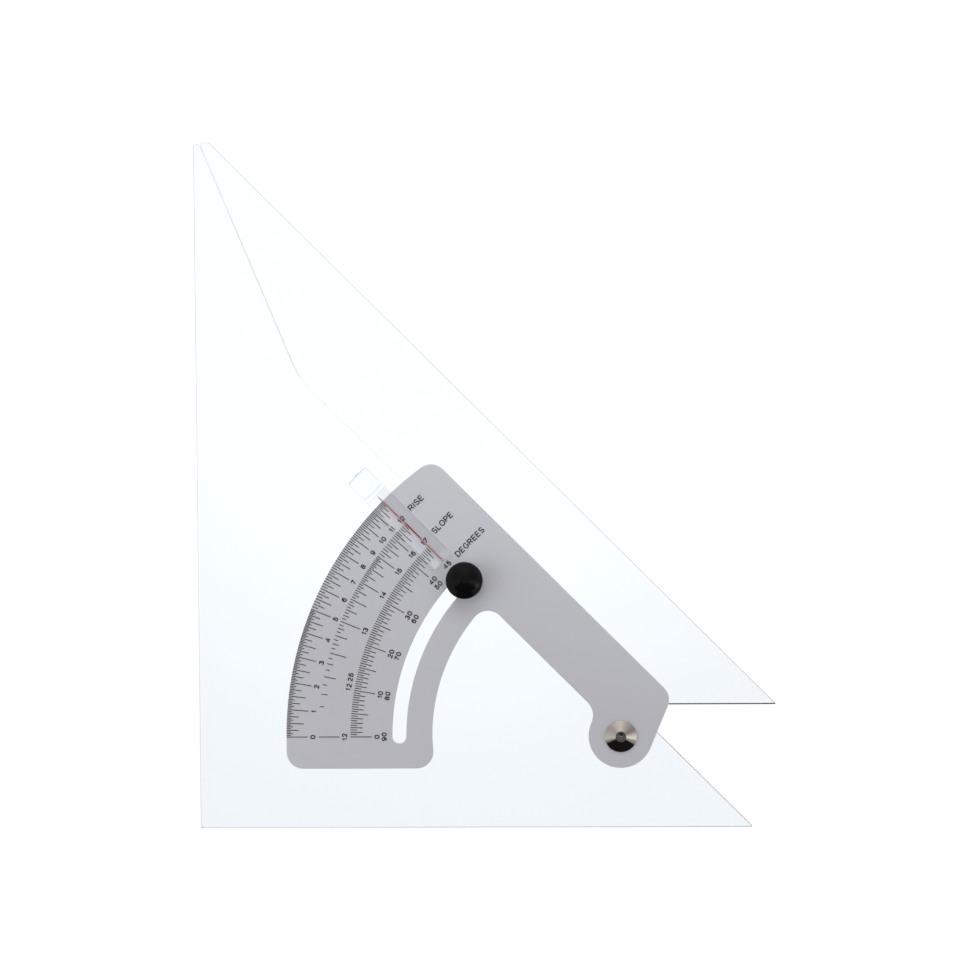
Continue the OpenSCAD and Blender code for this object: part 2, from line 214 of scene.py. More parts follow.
def side_share(finish):
    """1 on faces that stand upright, 0 on the flat faces of a sheet."""
    across = abs(finish.along(finish.facing)[2])
    return 1 - across.between(0.25, 0.95)


def make_clear_acrylic():
    """Polished cast sheet: cool tint, sawn walls, and painted shade and dark reflection on the rims, set by
    the way each rim faces and darkest at the ruling edges and the arm's foot.
    """
    finish = Finish("clear_acrylic_sheet")
    east, north, up = finish.along(finish.facing)
    x, y, _ = finish.along(finish.where)
    reach = (east * east + north * north + 0.000001) ** 0.5
    aligned, leaning, at_edge = (0.965, 0.985), (0.05, 0.2), (0.8 * MM, 1.2 * MM)

    # Where each wall and rim looks, and where it stands
    def faces(azimuth):
        """1 on walls and rims that look towards an azimuth, 0 on all others."""
        turn = math.radians(azimuth)
        return ((east * math.cos(turn) + north * math.sin(turn)) / reach).between(*aligned)

    walls = 1 - abs(up).between(*leaning)
    rims = up.between(*leaning) * (1 - up.between(0.975, 0.995))
    outside = (x + y).between(0.225, 0.235)
    above = y.between(ARM_FOOT - 0.7 * MM, ARM_FOOT - 0.2 * MM)
    edge_on = (abs(north) / reach).between(*aligned)
    foot = edge_on * above * (1 - y.between(ARM_FOOT + 0.6 * MM, ARM_FOOT + 1.0 * MM))
    ruling = edge_on * (1 - y.between(*at_edge)) * 0.45 + 0.35 * (1 - x.between(*at_edge))
    hidden_split = faces(-135) + faces(45) * above * (1 - outside)
    steep_split = faces(-157.4) + faces(22.6)

    # Tones of the body and of its walls, and painted shade and reflection on the rims by the way they face
    cloud = finish.grain(14, 2)
    body = finish.mix(cloud, colour(0.909, 0.960, 0.994), colour(0.922, 0.970, 0.998))
    cut = finish.mix(walls, body, colour(0.62, 0.72, 0.78))
    # Painted shade and reflection on the rims: dark where they face the reader and the upper right, paler on
    # the steep split and nearly white on the hidden split
    rim_painted_shading = finish.mix(faces(-90), colour(0.22, 0.24, 0.30), colour(0.04, 0.05, 0.06))
    rim_painted_shading = finish.mix(faces(45), rim_painted_shading, colour(0.07, 0.09, 0.13))
    rim_painted_shading = finish.mix(faces(45) * outside, rim_painted_shading, colour(0.20, 0.21, 0.27))
    rim_painted_shading = finish.mix(steep_split, rim_painted_shading, colour(0.66, 0.69, 0.74))
    rim_painted_shading = finish.mix(hidden_split, rim_painted_shading, colour(0.95, 0.97, 0.99))
    # Painted dark reflection: walls and rims at the ruling edges and the arm's foot turned near-black and
    # mirror-like
    dark = (walls + rims) * (foot + (1 - foot) * ruling)
    tint = finish.mix(dark, finish.mix(rims, cut, rim_painted_shading), colour(0.05, 0.05, 0.05))

    # Marks of the saw on the walls, and a few scratches on the faces
    saw = finish.grain(1800, 2, (1, 1, 0.02))
    scratch = finish.grain(90, 1, (1, 14, 1)).between(0.70, 0.74)
    matt = walls * (0.05 + 0.05 * saw) + 0.3 * dark
    return finish.surface({
        "Base Color": tint,
        "Metallic": 0.95 * dark,
        "Roughness": matt + 0.01 * scratch + 0.2 * rims * (1 - hidden_split),
        "IOR": 1.49,
        "Transmission Weight": 1.0,
        "Normal": finish.bump(walls * saw + 0.2 * scratch, 0.00001),
    })


def make_clear_cursor():
    """Clear moulding with faint flow lines, a painted glow on its left side, its tip and its foot, painted
    shade on its right side and a painted dark reflection on its outer end.
    """
    finish = Finish("clear_cursor_moulding", PIVOT)
    sides = side_share(finish)
    flow = finish.grain(160, 2, (1, 0.25, 1))
    x, y, _ = finish.along(finish.where)
    east, north, up = finish.along(finish.facing)

    # Distances from the pivot along the red line, and across it towards the upper right
    across, out = (x + y) * math.sqrt(0.5), (y - x) * math.sqrt(0.5)
    tip = 1 - out.between(0.0955, 0.0970)
    tongue = 1 - out.between(0.1265, 0.1300)
    rim = abs(up).between(0.05, 0.2) * (1 - abs(up).between(0.96, 0.995))
    end = rim * (north - east).between(0.15, 0.35) * out.between(0.132, 0.134)

    white = colour(1.0, 1.0, 1.0)
    # Painted shade: the right side of the tongue a little darker, except at its tip
    shaded = across.between(-0.0012, 0.0008) * (1 - tip)
    clear = finish.mix(shaded, white, colour(0.925, 0.921, 0.917))
    clear = finish.mix(tongue, white, clear)
    tint = finish.mix(sides, clear, colour(0.72, 0.76, 0.80))
    # Painted dark reflection: the rim of the outer end turned near-black and mirror-like
    tint = finish.mix(end, tint, colour(0.03, 0.035, 0.045))
    # Painted glow: a faint emission on the left of the tongue, on the left of its tip and on the flat faces
    # of the foot
    painted_glow = tongue * (1 - across.between(-0.0034, -0.0006)) * 0.44
    painted_glow = painted_glow + tip * (1 - across.between(-0.0022, 0.0012)) * 0.20
    painted_glow = painted_glow + 0.22 * (1 - tongue) * (1 - sides)
    return finish.surface({
        "Base Color": tint,
        "Emission Color": finish.mix(painted_glow, colour(0, 0, 0), colour(0.050, 0.0485, 0.047)),
        "Emission Strength": 1.0,
        "Metallic": 0.9 * end,
        "Roughness": 0.01 + 0.03 * sides * flow,
        "IOR": 1.49,
        "Transmission Weight": 1.0,
        "Normal": finish.bump(flow, 0.0000012),
    })


def make_grey_plate():
    """Satin grey sheet with painted light that makes it paler to the left and higher up, with a fine grain
    and a smoother cut edge.
    """
    finish = Finish("grey_satin_plate")
    sides = side_share(finish)
    fine = finish.grain(5200, 2)
    cloud = finish.grain(22, 3)
    x, y, _ = finish.along(finish.where)
    # Painted light: the lower part paler to the left than to the right, and the upper part paler still
    left = finish.mix(cloud, colour(0.642, 0.659, 0.716), colour(0.661, 0.676, 0.736))
    right = finish.mix(cloud, colour(0.600, 0.616, 0.674), colour(0.618, 0.632, 0.693))
    low = finish.mix(x.between(0.040, 0.165), left, right)
    high = finish.mix(cloud, colour(0.740, 0.765, 0.838), colour(0.758, 0.782, 0.856))
    face = finish.mix((y + 0.30 * x).between(0.070, 0.190), low, high)
    speckled = finish.mix(fine.between(0.60, 0.75) * 0.4, face, colour(0.70, 0.71, 0.77))
    shade = finish.mix(sides, speckled, colour(0.82, 0.80, 0.80))
    return finish.surface({
        "Base Color": shade,
        "Roughness": 0.52 + 0.10 * cloud - 0.16 * sides,
        "Specular IOR Level": 0.35,
        "Normal": finish.bump(fine, 0.000008),
    })


def make_ink():
    """Printed ink: dark grey, a little thinner here and there."""
    finish = Finish("printed_ink")
    thin = finish.grain(900, 2).between(0.45, 0.8)
    return finish.surface({
        "Base Color": finish.mix(thin, colour(0.012, 0.012, 0.015), colour(0.036, 0.036, 0.041)),
        "Roughness": 0.55 + 0.15 * thin,
        "Specular IOR Level": 0.25,
    })


def make_red_line():
    """Red filling in the cursor's groove, slightly uneven along its length."""
    finish = Finish("red_line_filling")
    uneven = finish.grain(700, 2, (1, 1, 0.2))
    return finish.surface({
        "Base Color": finish.mix(uneven, colour(0.60, 0.030, 0.024), colour(0.74, 0.055, 0.045)),
        "Roughness": 0.45 + 0.15 * uneven,
    })


def make_nickel(name, dull, bright, rough):
    """Turned metal: rings left by the tool, a faint bloom between two tones and a bright pip."""
    finish = Finish(name, PIVOT)
    radius = finish.radius()
    ring_pitch = 0.22 * MM
    ring = radius.math("SINE", radius * (2 * math.pi / ring_pitch))
    bloom = finish.grain(700, 3)
    pip = 1 - radius.between(0.00024, 0.00034)
    return finish.surface({
        "Base Color": finish.mix(pip, finish.mix(bloom, dull, bright), colour(0.85, 0.84, 0.80)),
        "Metallic": 1.0,
        "Roughness": rough + 0.04 * bloom,
        "Normal": finish.bump(ring * 0.5 + 0.5, 0.0000022),
    })


def make_brass():
    """Plain turned brass, darkened in patches, with faint rings."""
    finish = Finish("turned_brass")
    patch = finish.grain(420, 4)
    rings = finish.grain(4000, 1, (0.02, 0.02, 1))
    return finish.surface({
        "Base Color": finish.mix(patch, colour(0.72, 0.52, 0.22), colour(0.50, 0.34, 0.13)),
        "Metallic": 1.0,
        "Roughness": 0.24 + 0.20 * patch,
        "Normal": finish.bump(rings, 0.000008),
    })


def make_steel():
    """Bright drawn steel with fine lines and a slightly duller bloom."""
    finish = Finish("bright_steel")
    bloom = finish.grain(500, 4)
    lines = finish.grain(5000, 1, (0.03, 0.03, 1))
    return finish.surface({
        "Base Color": finish.mix(bloom, colour(0.60, 0.61, 0.63), colour(0.44, 0.45, 0.47)),
        "Metallic": 1.0,
        "Roughness": 0.22 + 0.18 * bloom,
        "Normal": finish.bump(lines, 0.000006),
    })


def make_black_knob():
    """Glossy black moulding with a soft ripple from the mould, dust, and a painted highlight: a paler,
    slightly rougher band round its rim.
    """
    finish = Finish("glossy_black_moulding", STUD)
    ripple = finish.grain(900, 2)
    dust = finish.grain(6000, 2).between(0.62, 0.78)
    # Painted highlight: a paler band round the rim of the dome, mixed with the dust
    rim = finish.radius().between(0.0060, 0.0067)
    base = finish.mix(rim * 0.5 + 0.2 * dust, colour(0.005, 0.005, 0.005), colour(0.020, 0.020, 0.021))
    return finish.surface({
        "Base Color": base,
        "Roughness": 0.10 + 0.10 * rim + 0.05 * ripple,
        "Specular IOR Level": 0.17,
        "Normal": finish.bump(ripple, 0.000006),
    })


def make_table():
    """Pale table that glows softly from below, brightest under the upper part of the square."""
    brightest = Vector((0.090, 0.200, 0))
    finish = Finish("pale_light_table", brightest)
    radius = finish.radius()
    near, far = radius.between(0.07, 0.21), radius.between(0.45, 1.8)
    under = finish.mix(near, colour(1.0, 1.0, 1.0), colour(0.885, 0.885, 0.885))
    return finish.surface({
        "Base Color": finish.mix(far, colour(0.05, 0.05, 0.05), colour(0.30, 0.30, 0.30)),
        "Roughness": 0.9,
        "Specular IOR Level": 0.0,
        "Emission Color": finish.mix(far, under, colour(0.55, 0.56, 0.57)),
        "Emission Strength": 1.11,
    })


def own(piece, finish, slot, body, *nodes):
    """Dresses a finished piece, ties it to its body and hides the nodes it stands for. The slot is not used.
    """
    piece.data.materials.clear()
    piece.data.materials.append(finish)
    if nodes:
        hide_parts(*nodes)
    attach(piece, body)


def added(name, content):
    """A new object in the scene, for a mesh, a light or a camera."""
    piece = bpy.data.objects.new(name, content)
    bpy.context.scene.collection.objects.link(piece)
    return piece


def kept(form, name):
    """Turns a finished form into an object."""
    mesh = bpy.data.meshes.new(name)
    form.to_mesh(mesh)
    form.free()
    return added(name, mesh)


FLAT, EASED, WALL = range(3)


def face_kind(face, level):
    """FLAT for a level or gently crowned face, WALL for an upright one, EASED for one between them."""
    height = abs(face.normal.z)
    return FLAT if height > level else WALL if height < 0.01 else EASED


def shade_by_kind(form, level):
    """Keeps level faces flat and lets walls, crowns and eased edges run smooth."""
    form.normal_update()
    for face in form.faces:
        face.smooth = face_kind(face, level) != FLAT or abs(face.normal.z) < 0.9999
    for edge in form.edges:
        kinds = {face_kind(face, level) for face in edge.link_faces}
        turn = edge.calc_face_angle(math.pi)
        edge.smooth = len(kinds) == 1 and turn < math.radians(6 if kinds == {FLAT} else 32)


def is_rim(edge, ease, level):
    """True for an edge between a level face and an upright one that is tall enough to be eased."""
    faces = edge.link_faces
    if len(faces) != 2 or {face_kind(face, level) for face in faces} != {FLAT, WALL}:
        return False
    wall = next(face for face in faces if face_kind(face, level) == WALL)
    heights = [point.co.z for point in wall.verts]
    return max(heights) - min(heights) > 2.1 * ease


def ease_rims(form, ease, chosen, level):
    """Rounds the chosen rims of a form to the radius ease."""
    form.normal_update()
    rims = [edge for edge in form.edges if is_rim(edge, ease, level) and chosen(edge)]
    bmesh.ops.bevel(
        form, geom=rims, offset=ease, offset_type="OFFSET", segments=3,
        profile=0.5, affect="EDGES", clamp_overlap=False,
    )


def eased_copy(node, name, ease, chosen, rise=0.0, level=0.9995):
    """A merged copy of a node with the chosen rims rounded over, and its lowest face raised by rise."""
    form = bmesh.new()
    form.from_mesh(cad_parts[node].data)
    bmesh.ops.remove_doubles(form, verts=form.verts, dist=SAME)
    flat = math.radians(0.2)
    bmesh.ops.dissolve_limit(form, angle_limit=flat, verts=form.verts, edges=form.edges)
    ease_rims(form, ease, chosen, level)
    if rise:
        lowest = min(point.co.z for point in form.verts)
        for point in form.verts:
            if point.co.z < lowest + SAME:
                point.co.z += rise
    shade_by_kind(form, level)
    return kept(form, name)


def any_rim(_):
    """True for every rim."""
    return True


def upper_rim(edge):
    """True for a rim of the blades' upper face."""
    return min(point.co.z for point in edge.verts) > BLADE_TOP - 0.2 * MM


def arm_rim(edge):
    """True for the arm's upper rims, and for the lower rim of its foot as well."""
    return upper_rim(edge) or max(point.co.y for point in edge.verts) < ARM_FOOT + 0.1 * MM


def lathed(name, centre, profile, steps=128):
    """A closed turned body from (radius, height) points that start and end on the axis, or form a ring."""
    form = bmesh.new()
    rings = []
    for radius, height in profile:
        turns = [2 * math.pi * step / steps for step in range(steps)] if radius > SAME else [0]
        rings.append([
            form.verts.new((centre.x + radius * math.cos(a), centre.y + radius * math.sin(a), height))
            for a in turns
        ])
    closed = len(rings[0]) > 1
    for here, there in zip(rings, rings[1:] + rings[:1] if closed else rings[1:]):
        join_rings(form, here, there)
    bmesh.ops.recalc_face_normals(form, faces=form.faces)
    form.normal_update()
    for face in form.faces:
        face.smooth = True
    for edge in form.edges:
        edge.smooth = edge.calc_face_angle(math.pi) < math.radians(24)
    return kept(form, name)


def join_rings(form, here, there):
    """Faces between two rings of points, or between a ring and a single point."""
    count = max(len(here), len(there))
    for step in range(count):
        after = (step + 1) % count
        corners = [here[step % len(here)], here[after % len(here)]]
        corners += [there[after % len(there)], there[step % len(there)]]
        form.faces.new(list(dict.fromkeys(corners)))


def rounded(corner, before, after, radius, steps=5):
    """Points of an arc that rounds one corner of a profile."""
    corner = Vector(corner)
    to_before = (Vector(before) - corner).normalized()
    to_after = (Vector(after) - corner).normalized()
    half = to_before.angle(to_after) / 2
    middle = corner + (to_before + to_after).normalized() * radius / math.sin(half)
    first = corner + to_before * radius / math.tan(half) - middle
    last = corner + to_after * radius / math.tan(half) - middle
    turn = first.angle_signed(last)
    spots = []
    for step in range(steps + 1):
        angle = -turn * step / steps
        spot = middle + Matrix.Rotation(angle, 2) @ first
        spots.append((spot.x, spot.y))
    return spots


def softened(corners, radii):
    """A profile with each inner corner rounded by its radius; 0 leaves it sharp."""
    profile = [corners[0]]
    for before, corner, after, radius in zip(corners, corners[1:], corners[2:], radii):
        profile += rounded(corner, before, after, radius) if radius else [corner]
    return profile + [corners[-1]]


def dome(radius, rim_height, rise, inner, steps=18):
    """Profile of a shallow dome from its rim inwards."""
    bowl = (radius * radius + rise * rise) / (2 * rise)
    spots = []
    for step in range(steps + 1):
        r = radius + (inner - radius) * step / steps
        spots.append((r, rim_height + rise - bowl + math.sqrt(bowl * bowl - r * r)))
    return spots


def make_sheets(acrylic):
    base = eased_copy("base_blade", "base_sheet", BASE_EASE, upper_rim)
    own(base, acrylic, "clear_acrylic", "base", "base_blade")
    arm = eased_copy("arm_blade", "arm_sheet", ARM_EASE, arm_rim)
    own(arm, acrylic, "clear_acrylic", "arm", "arm_blade")


def make_plate(satin):
    plate = eased_copy("scale_plate", "scale_panel", ARM_EASE, any_rim, HAIR)
    own(plate, satin, "grey_plate", "arm", "scale_plate")


def make_cursor(clear, red):
    """The clear block, which lets light through and so casts no shadow, and its red line."""
    block = eased_copy("cursor", "cursor_block", FINE_EASE, any_rim, HAIR, level=0.93)
    own(block, clear, "clear_cursor", "base", "cursor")
    block.visible_shadow = False
    dress("hairline", red)


def dress(node, finish):
    """A better finish on a node whose own shape is right."""
    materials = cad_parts[node].data.materials
    materials.clear()
    materials.append(finish)


def bow(x, y, wide, high, first, last, steps=12):
    """Points of an elliptic arc, by angles in degrees."""
    turns = [math.radians(first + (last - first) * step / steps) for step in range(steps + 1)]
    return [(x + wide * math.cos(turn), y + high * math.sin(turn)) for turn in turns]


def round_letter(steps=28):
    """A squarish oval, as in 0 and O, as a closed line."""
    spots = []
    for step in range(steps + 1):
        turn = 2 * math.pi * step / steps
        c, s = math.cos(turn), math.sin(turn)
        across, up = (math.copysign(abs(part) ** 0.86, part) for part in (c, s))
        spots.append((0.5 + 0.5 * across, 0.5 + 0.5 * up))
    return spots


# Middle lines of the plain figures and letters in a box of width and height 1, and their widths
STROKES = {
    "0": (0.60, [round_letter()]),
    "1": (0.30, [[(0.0, 0.76), (0.35, 0.82), (0.75, 1.0), (0.75, 0.0)]]),
    "2": (0.60, [bow(0.5, 0.72, 0.46, 0.28, 172, -28) + [(0.02, 0.0), (1.0, 0.0)]]),
    "3": (0.60, [bow(0.46, 0.755, 0.42, 0.245, 165, -90) + bow(0.46, 0.255, 0.52, 0.255, 90, -165)]),
    "4": (0.64, [[(0.76, 0.0), (0.76, 1.0), (0.0, 0.28), (1.0, 0.28)]]),
    "5": (0.60, [[(0.90, 1.0), (0.16, 1.0), (0.06, 0.47)] + bow(0.47, 0.325, 0.51, 0.325, 138, -162)]),
    "6": (0.60, [bow(0.5, 0.32, 0.48, 0.32, 180, 540, 24), bow(0.54, 0.50, 0.53, 0.50, 184, 42)]),
    "7": (0.60, [[(0.0, 1.0), (1.0, 1.0), (0.62, 0.50), (0.38, 0.0)]]),
    "8": (0.60, [bow(0.5, 0.755, 0.42, 0.245, 0, 360, 22), bow(0.5, 0.265, 0.5, 0.265, 0, 360, 24)]),
    "9": (0.60, [bow(0.5, 0.68, 0.48, 0.32, 0, 360, 24), bow(0.46, 0.50, 0.53, 0.50, 4, -138)]),
    ".": (0.0, [[(0.0, -0.02), (0.0, 0.03)]]),
    "R": (0.62, [[(0.0, 0.0), (0.0, 1.0)] + bow(0.62, 0.745, 0.33, 0.255, 90, -90) + [(0.0, 0.49)],
                 [(0.50, 0.49), (0.98, 0.0)]]),
    "I": (0.0, [[(0.0, 0.0), (0.0, 1.0)]]),
    "S": (0.60, [bow(0.49, 0.755, 0.45, 0.245, 20, 262) + bow(0.51, 0.26, 0.49, 0.26, 82, -160)]),
    "E": (0.54, [[(1.0, 1.0), (0.0, 1.0), (0.0, 0.0), (1.0, 0.0)], [(0.0, 0.52), (0.92, 0.52)]]),
    "L": (0.50, [[(0.0, 1.0), (0.0, 0.0), (1.0, 0.0)]]),
    "O": (0.72, [round_letter()]),
    "P": (0.58, [[(0.0, 0.0), (0.0, 1.0)] + bow(0.62, 0.73, 0.38, 0.27, 90, -90) + [(0.0, 0.46)]]),
    "D": (0.64, [[(0.0, 1.0), (0.0, 0.0)] + bow(0.48, 0.5, 0.52, 0.5, -90, 90) + [(0.0, 1.0)]]),
    "G": (0.70, [bow(0.5, 0.5, 0.5, 0.5, 42, 335, 20) + [(1.0, 0.47), (0.58, 0.47)]]),
}


class Lettering:
    """Figures and words drawn with a pen of one width, as thin printed solids on the plate."""

    def __init__(self, pen):
        self.form = bmesh.new()
        self.pen = pen

    def stamp(self, text, middle, turn, height, stretch=1.0):
        """Prints text about a point, with its letters height tall."""
        rise = height - self.pen
        gap = self.pen + LETTER_GAP * height * stretch
        lines, across = [], 0.0
        for letter in text:
            width, strokes = STROKES[letter]
            wide = width * height * stretch
            lines += [[(across + x * wide, y * rise) for x, y in stroke] for stroke in strokes]
            across += wide + gap
        length = across - gap
        place = Matrix.Translation((middle.x, middle.y, PLATE_TOP)) @ Matrix.Rotation(turn, 4, "Z")
        place = place @ Matrix.Translation((-length / 2, -rise / 2, 0))
        for line in lines:
            self.draw([Vector(spot) for spot in line], place)

    def draw(self, line, place):
        """One stroke of the pen, as a closed body with a flat top."""
        closed = (line[0] - line[-1]).length < SAME
        top = INK_TOP - PLATE_TOP
        if closed:
            line = line[:-1]
        rings = []
        for here, spot in enumerate(line):
            before = line[here - 1] if here or closed else None
            after = line[(here + 1) % len(line)] if here + 1 < len(line) or closed else None
            side = self.side_of(before, spot, after)
            corners = [(spot + side, top), (spot - side, top), (spot - side, 0), (spot + side, 0)]
            rings.append([self.form.verts.new(place @ Vector((at.x, at.y, z))) for at, z in corners])
        pairs = list(zip(rings, rings[1:] + rings[:1])) if closed else list(zip(rings, rings[1:]))
        for one, other in pairs:
            join_rings(self.form, one, other)
        if not closed:
            self.form.faces.new(rings[0])
            self.form.faces.new(rings[-1])

    def side_of(self, before, spot, after):
        """Half the pen's width, across the line, mitred where the line turns."""
        ways = [(b - a).normalized() for a, b in ((before, spot), (spot, after)) if a and b]
        along = sum(ways, Vector((0, 0))).normalized()
        across = Vector((-along.y, along.x))
        sharpest = 0.55
        lean = max(sharpest, across.dot(Vector((-ways[0].y, ways[0].x))))
        return across * (self.pen / 2 / lean)

    def piece(self, name):
        bmesh.ops.recalc_face_normals(self.form, faces=self.form.faces)
        return kept(self.form, name)


def on_scale(radius, degrees):
    """Point of the plate at a radius and at degrees up from the zero line, which points left."""
    angle = math.radians(180 - degrees)
    return PIVOT + radius * Vector((math.cos(angle), math.sin(angle), 0))


def make_numbers(ink):
    """Figures of the rise, slope and degree scales, and of the second row that counts back from 90."""
    print_on = Lettering(PEN)

    def figure(text, row, degrees):
        spot = on_scale(row, degrees)
        print_on.stamp(text, spot, math.radians(90 - degrees), FIGURE_HEIGHT)

    for rise in range(13):
        figure(str(rise), RISE_ROW, math.degrees(math.atan(rise / RUN)))
    for slope in (12, 12.25, 13, 14, 15, 16, 17):
        figure(f"{slope:g}", SLOPE_ROW, math.degrees(math.acos(RUN / slope)))
    for degrees in (0, 10, 20, 30, 40, 45):
        figure(str(degrees), DEGREE_ROW, degrees)
    for degrees in (0, 10, 20, 30, 40):
        figure(str(90 - degrees), BACK_ROW, degrees)
    own(print_on.piece("scale_numbers"), ink, "ink", "arm")


def make_words(ink):
    """The names of the three scales: each word with its middle, in millimetres, and its stretch."""
    print_on = Lettering(PEN)
    rows = (("RISE", 81.8, 122.3, 1.10), ("SLOPE", 91.6, 114.8, 1.02), ("DEGREES", 101.8, 107.65, 1.02))
    for word, x, y, stretch in rows:
        print_on.stamp(word, Vector((x * MM, y * MM, 0)), math.radians(45), WORD_HEIGHT, stretch)
    own(print_on.piece("scale_words"), ink, "ink", "arm")


def make_marks(ink):
    for node in ("rise_marks", "slope_marks", "degree_marks"):
        dress(node, ink)


def make_pivot(brass):
    """Cap with a coned top that keeps the marks of the tool, the rivet in it, and the bush."""
    nickel = make_nickel("turned_nickel", colour(0.66, 0.64, 0.60), colour(0.76, 0.72, 0.67), 0.05)
    dark = make_nickel("dark_turned_metal", colour(0.14, 0.14, 0.135), colour(0.20, 0.20, 0.195), 0.34)
    low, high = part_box("pivot_cap")
    rim = (high.x - low.x) / 2
    bore, land, wall, ease = 1.80 * MM, 2.07 * MM, low.z + 0.4 * MM, 0.1 * MM
    grooves, groove_depth = 48, 0.006 * MM
    cone = [(rim - 0.08 * MM, wall)]
    for groove in range(1, grooves):
        share = groove / grooves
        radius = rim + (land - rim) * share
        cone.append((radius, wall + (high.z - wall) * share - groove_depth * (groove % 2)))
    profile = [(bore, low.z), (rim - ease, low.z), (rim, low.z + ease), (rim, wall - ease)]
    profile += cone + [(land, high.z), (bore + ease / 2, high.z), (bore, high.z - ease / 2)]
    cap = lathed("pivot_cone", PIVOT, profile)
    own(cap, nickel, "nickel", "base", "pivot_cap")
    own(make_rivet(), dark, "nickel", "base", "pivot_rivet")
    dress("pivot_bush", brass)


def make_rivet():
    """Rivet with its head in the underside and a dished end, with a small pip left in its centre."""
    low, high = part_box("pivot_rivet")
    head, shank, seat = (high.x - low.x) / 2, 1.78 * MM, low.z + 0.6 * MM
    corners = [(0, low.z), (head, low.z), (head, seat), (shank, seat), (shank, high.z), (1.44 * MM, high.z)]
    profile = softened(corners, [0.15 * MM, 0.1 * MM, 0, 0.08 * MM])
    bowl, lip, pip_foot = 2.2 * MM, 1.27 * MM, 0.4 * MM
    rings, ring_height = 12, 0.012 * MM
    for step in range(rings + 1):
        radius = lip + (pip_foot - lip) * step / rings
        depth = math.sqrt(bowl * bowl - radius * radius) - 0.8 * bowl
        profile.append((radius, high.z - depth + ring_height * (step % 2)))
    pip = ((0.30, 0.43), (0.22, 0.34), (0.10, 0.30), (0, 0.29))
    profile += [(radius * MM, high.z - depth * MM) for radius, depth in pip]
    return lathed("pivot_rivet_turned", PIVOT, profile, 96)


def make_knob(black, brass):
    """Domed knob with a small dimple in its top and ribs round its grip, and the insert in its bore."""
    low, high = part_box("lock_knob")
    radius = (high.x - low.x) / 2
    seat, head, grip = low.z + HAIR, low.z + 3.7 * MM, radius - 0.6 * MM
    bore, ceiling = 3.02 * MM, seat + 4.5 * MM
    shoulder = low.z + 5.3 * MM
    dome_foot, dome_radius = shoulder + 0.32 * MM, radius * 0.925
    corners = [(0, ceiling), (bore, ceiling), (bore, seat), (grip, seat), (grip, head)]
    corners += [(radius, head), (radius, shoulder), (dome_radius, dome_foot)]
    profile = softened(corners, [0, 0.2 * MM, 0.3 * MM, 0, 0.2 * MM, 0.3 * MM])[:-1]
    profile += dome(dome_radius, dome_foot, high.z - dome_foot, 0.45 * MM)
    dimple = ((0.36, 0.05), (0.20, 0.12), (0, 0.14))
    profile += [(across * MM, high.z - depth * MM) for across, depth in dimple]
    own(lathed("knob_head", STUD, profile, 160), black, "black_knob", "knob", "lock_knob")
    ribs = grown("knob_ribs", rib_ring(), {
        "Count": 40, "Radius": grip, "Rib": 0.3 * MM, "Height": head - seat - 0.5 * MM,
        "Place": STUD + Vector((0, 0, (head + seat) / 2)), "Finish": black,
    })
    own(ribs, black, "black_knob", "knob")
    insert = eased_copy("knob_insert", "knob_insert_sleeve", FINE_EASE, any_rim, HAIR)
    own(insert, brass, "brass", "knob", "knob_insert")


class Steps(Board):
    """A Geometry Nodes tree with named inputs."""

    def __init__(self, name, inputs):
        super().__init__(bpy.data.node_groups.new(name, "GeometryNodeTree"))
        for title, kind in inputs.items():
            self.tree.interface.new_socket(title, in_out="INPUT", socket_type="NodeSocket" + kind)
        self.tree.interface.new_socket("Geometry", in_out="OUTPUT", socket_type="NodeSocketGeometry")
        self.given = self.node("NodeGroupInput").outputs

    def ends_in(self, geometry, place, finish):
        """Moves the geometry to its place, gives it its finish, and closes the tree."""
        real = self.node("GeometryNodeRealizeInstances", None, {0: geometry}).outputs[0]
        put = self.node("GeometryNodeTransform", None, {"Geometry": real, "Translation": place}).outputs[0]
        worn = self.node("GeometryNodeSetMaterial", None, {"Geometry": put, "Material": finish})
        self.node("NodeGroupOutput", None, {0: worn.outputs[0]})
        return self.tree


def grown(name, tree, values):
    """Runs a tree once and keeps what it makes as a plain mesh."""
    seed = added(name + "_seed", bpy.data.meshes.new(name + "_seed"))
    step = seed.modifiers.new("grow", "NODES")
    step.node_group = tree
    for item in tree.interface.items_tree:
        if item.item_type == "SOCKET" and item.in_out == "INPUT":
            step[item.identifier] = values[item.name]
    shown = seed.evaluated_get(bpy.context.evaluated_depsgraph_get())
    mesh = bpy.data.meshes.new_from_object(shown)
    seed.modifiers.remove(step)
    bpy.data.objects.remove(seed)
    return added(name, mesh)


def rib_ring():
    """Round ribs that stand in a ring about the knob's grip."""
    steps = Steps("rib_ring", {
        "Count": "Int", "Radius": "Float", "Rib": "Float", "Height": "Float",
        "Place": "Vector", "Finish": "Material",
    })
    given = steps.given
    spots = steps.node("GeometryNodeMeshCircle", None, {
        "Vertices": given["Count"], "Radius": given["Radius"],
    })
    rib = steps.node("GeometryNodeMeshCylinder", None, {
        "Vertices": 10, "Radius": given["Rib"], "Depth": given["Height"],
    })
    ring = steps.node("GeometryNodeInstanceOnPoints", None, {
        "Points": spots.outputs[0], "Instance": rib.outputs[0],
    })
    return steps.ends_in(ring.outputs[0], given["Place"], given["Finish"])


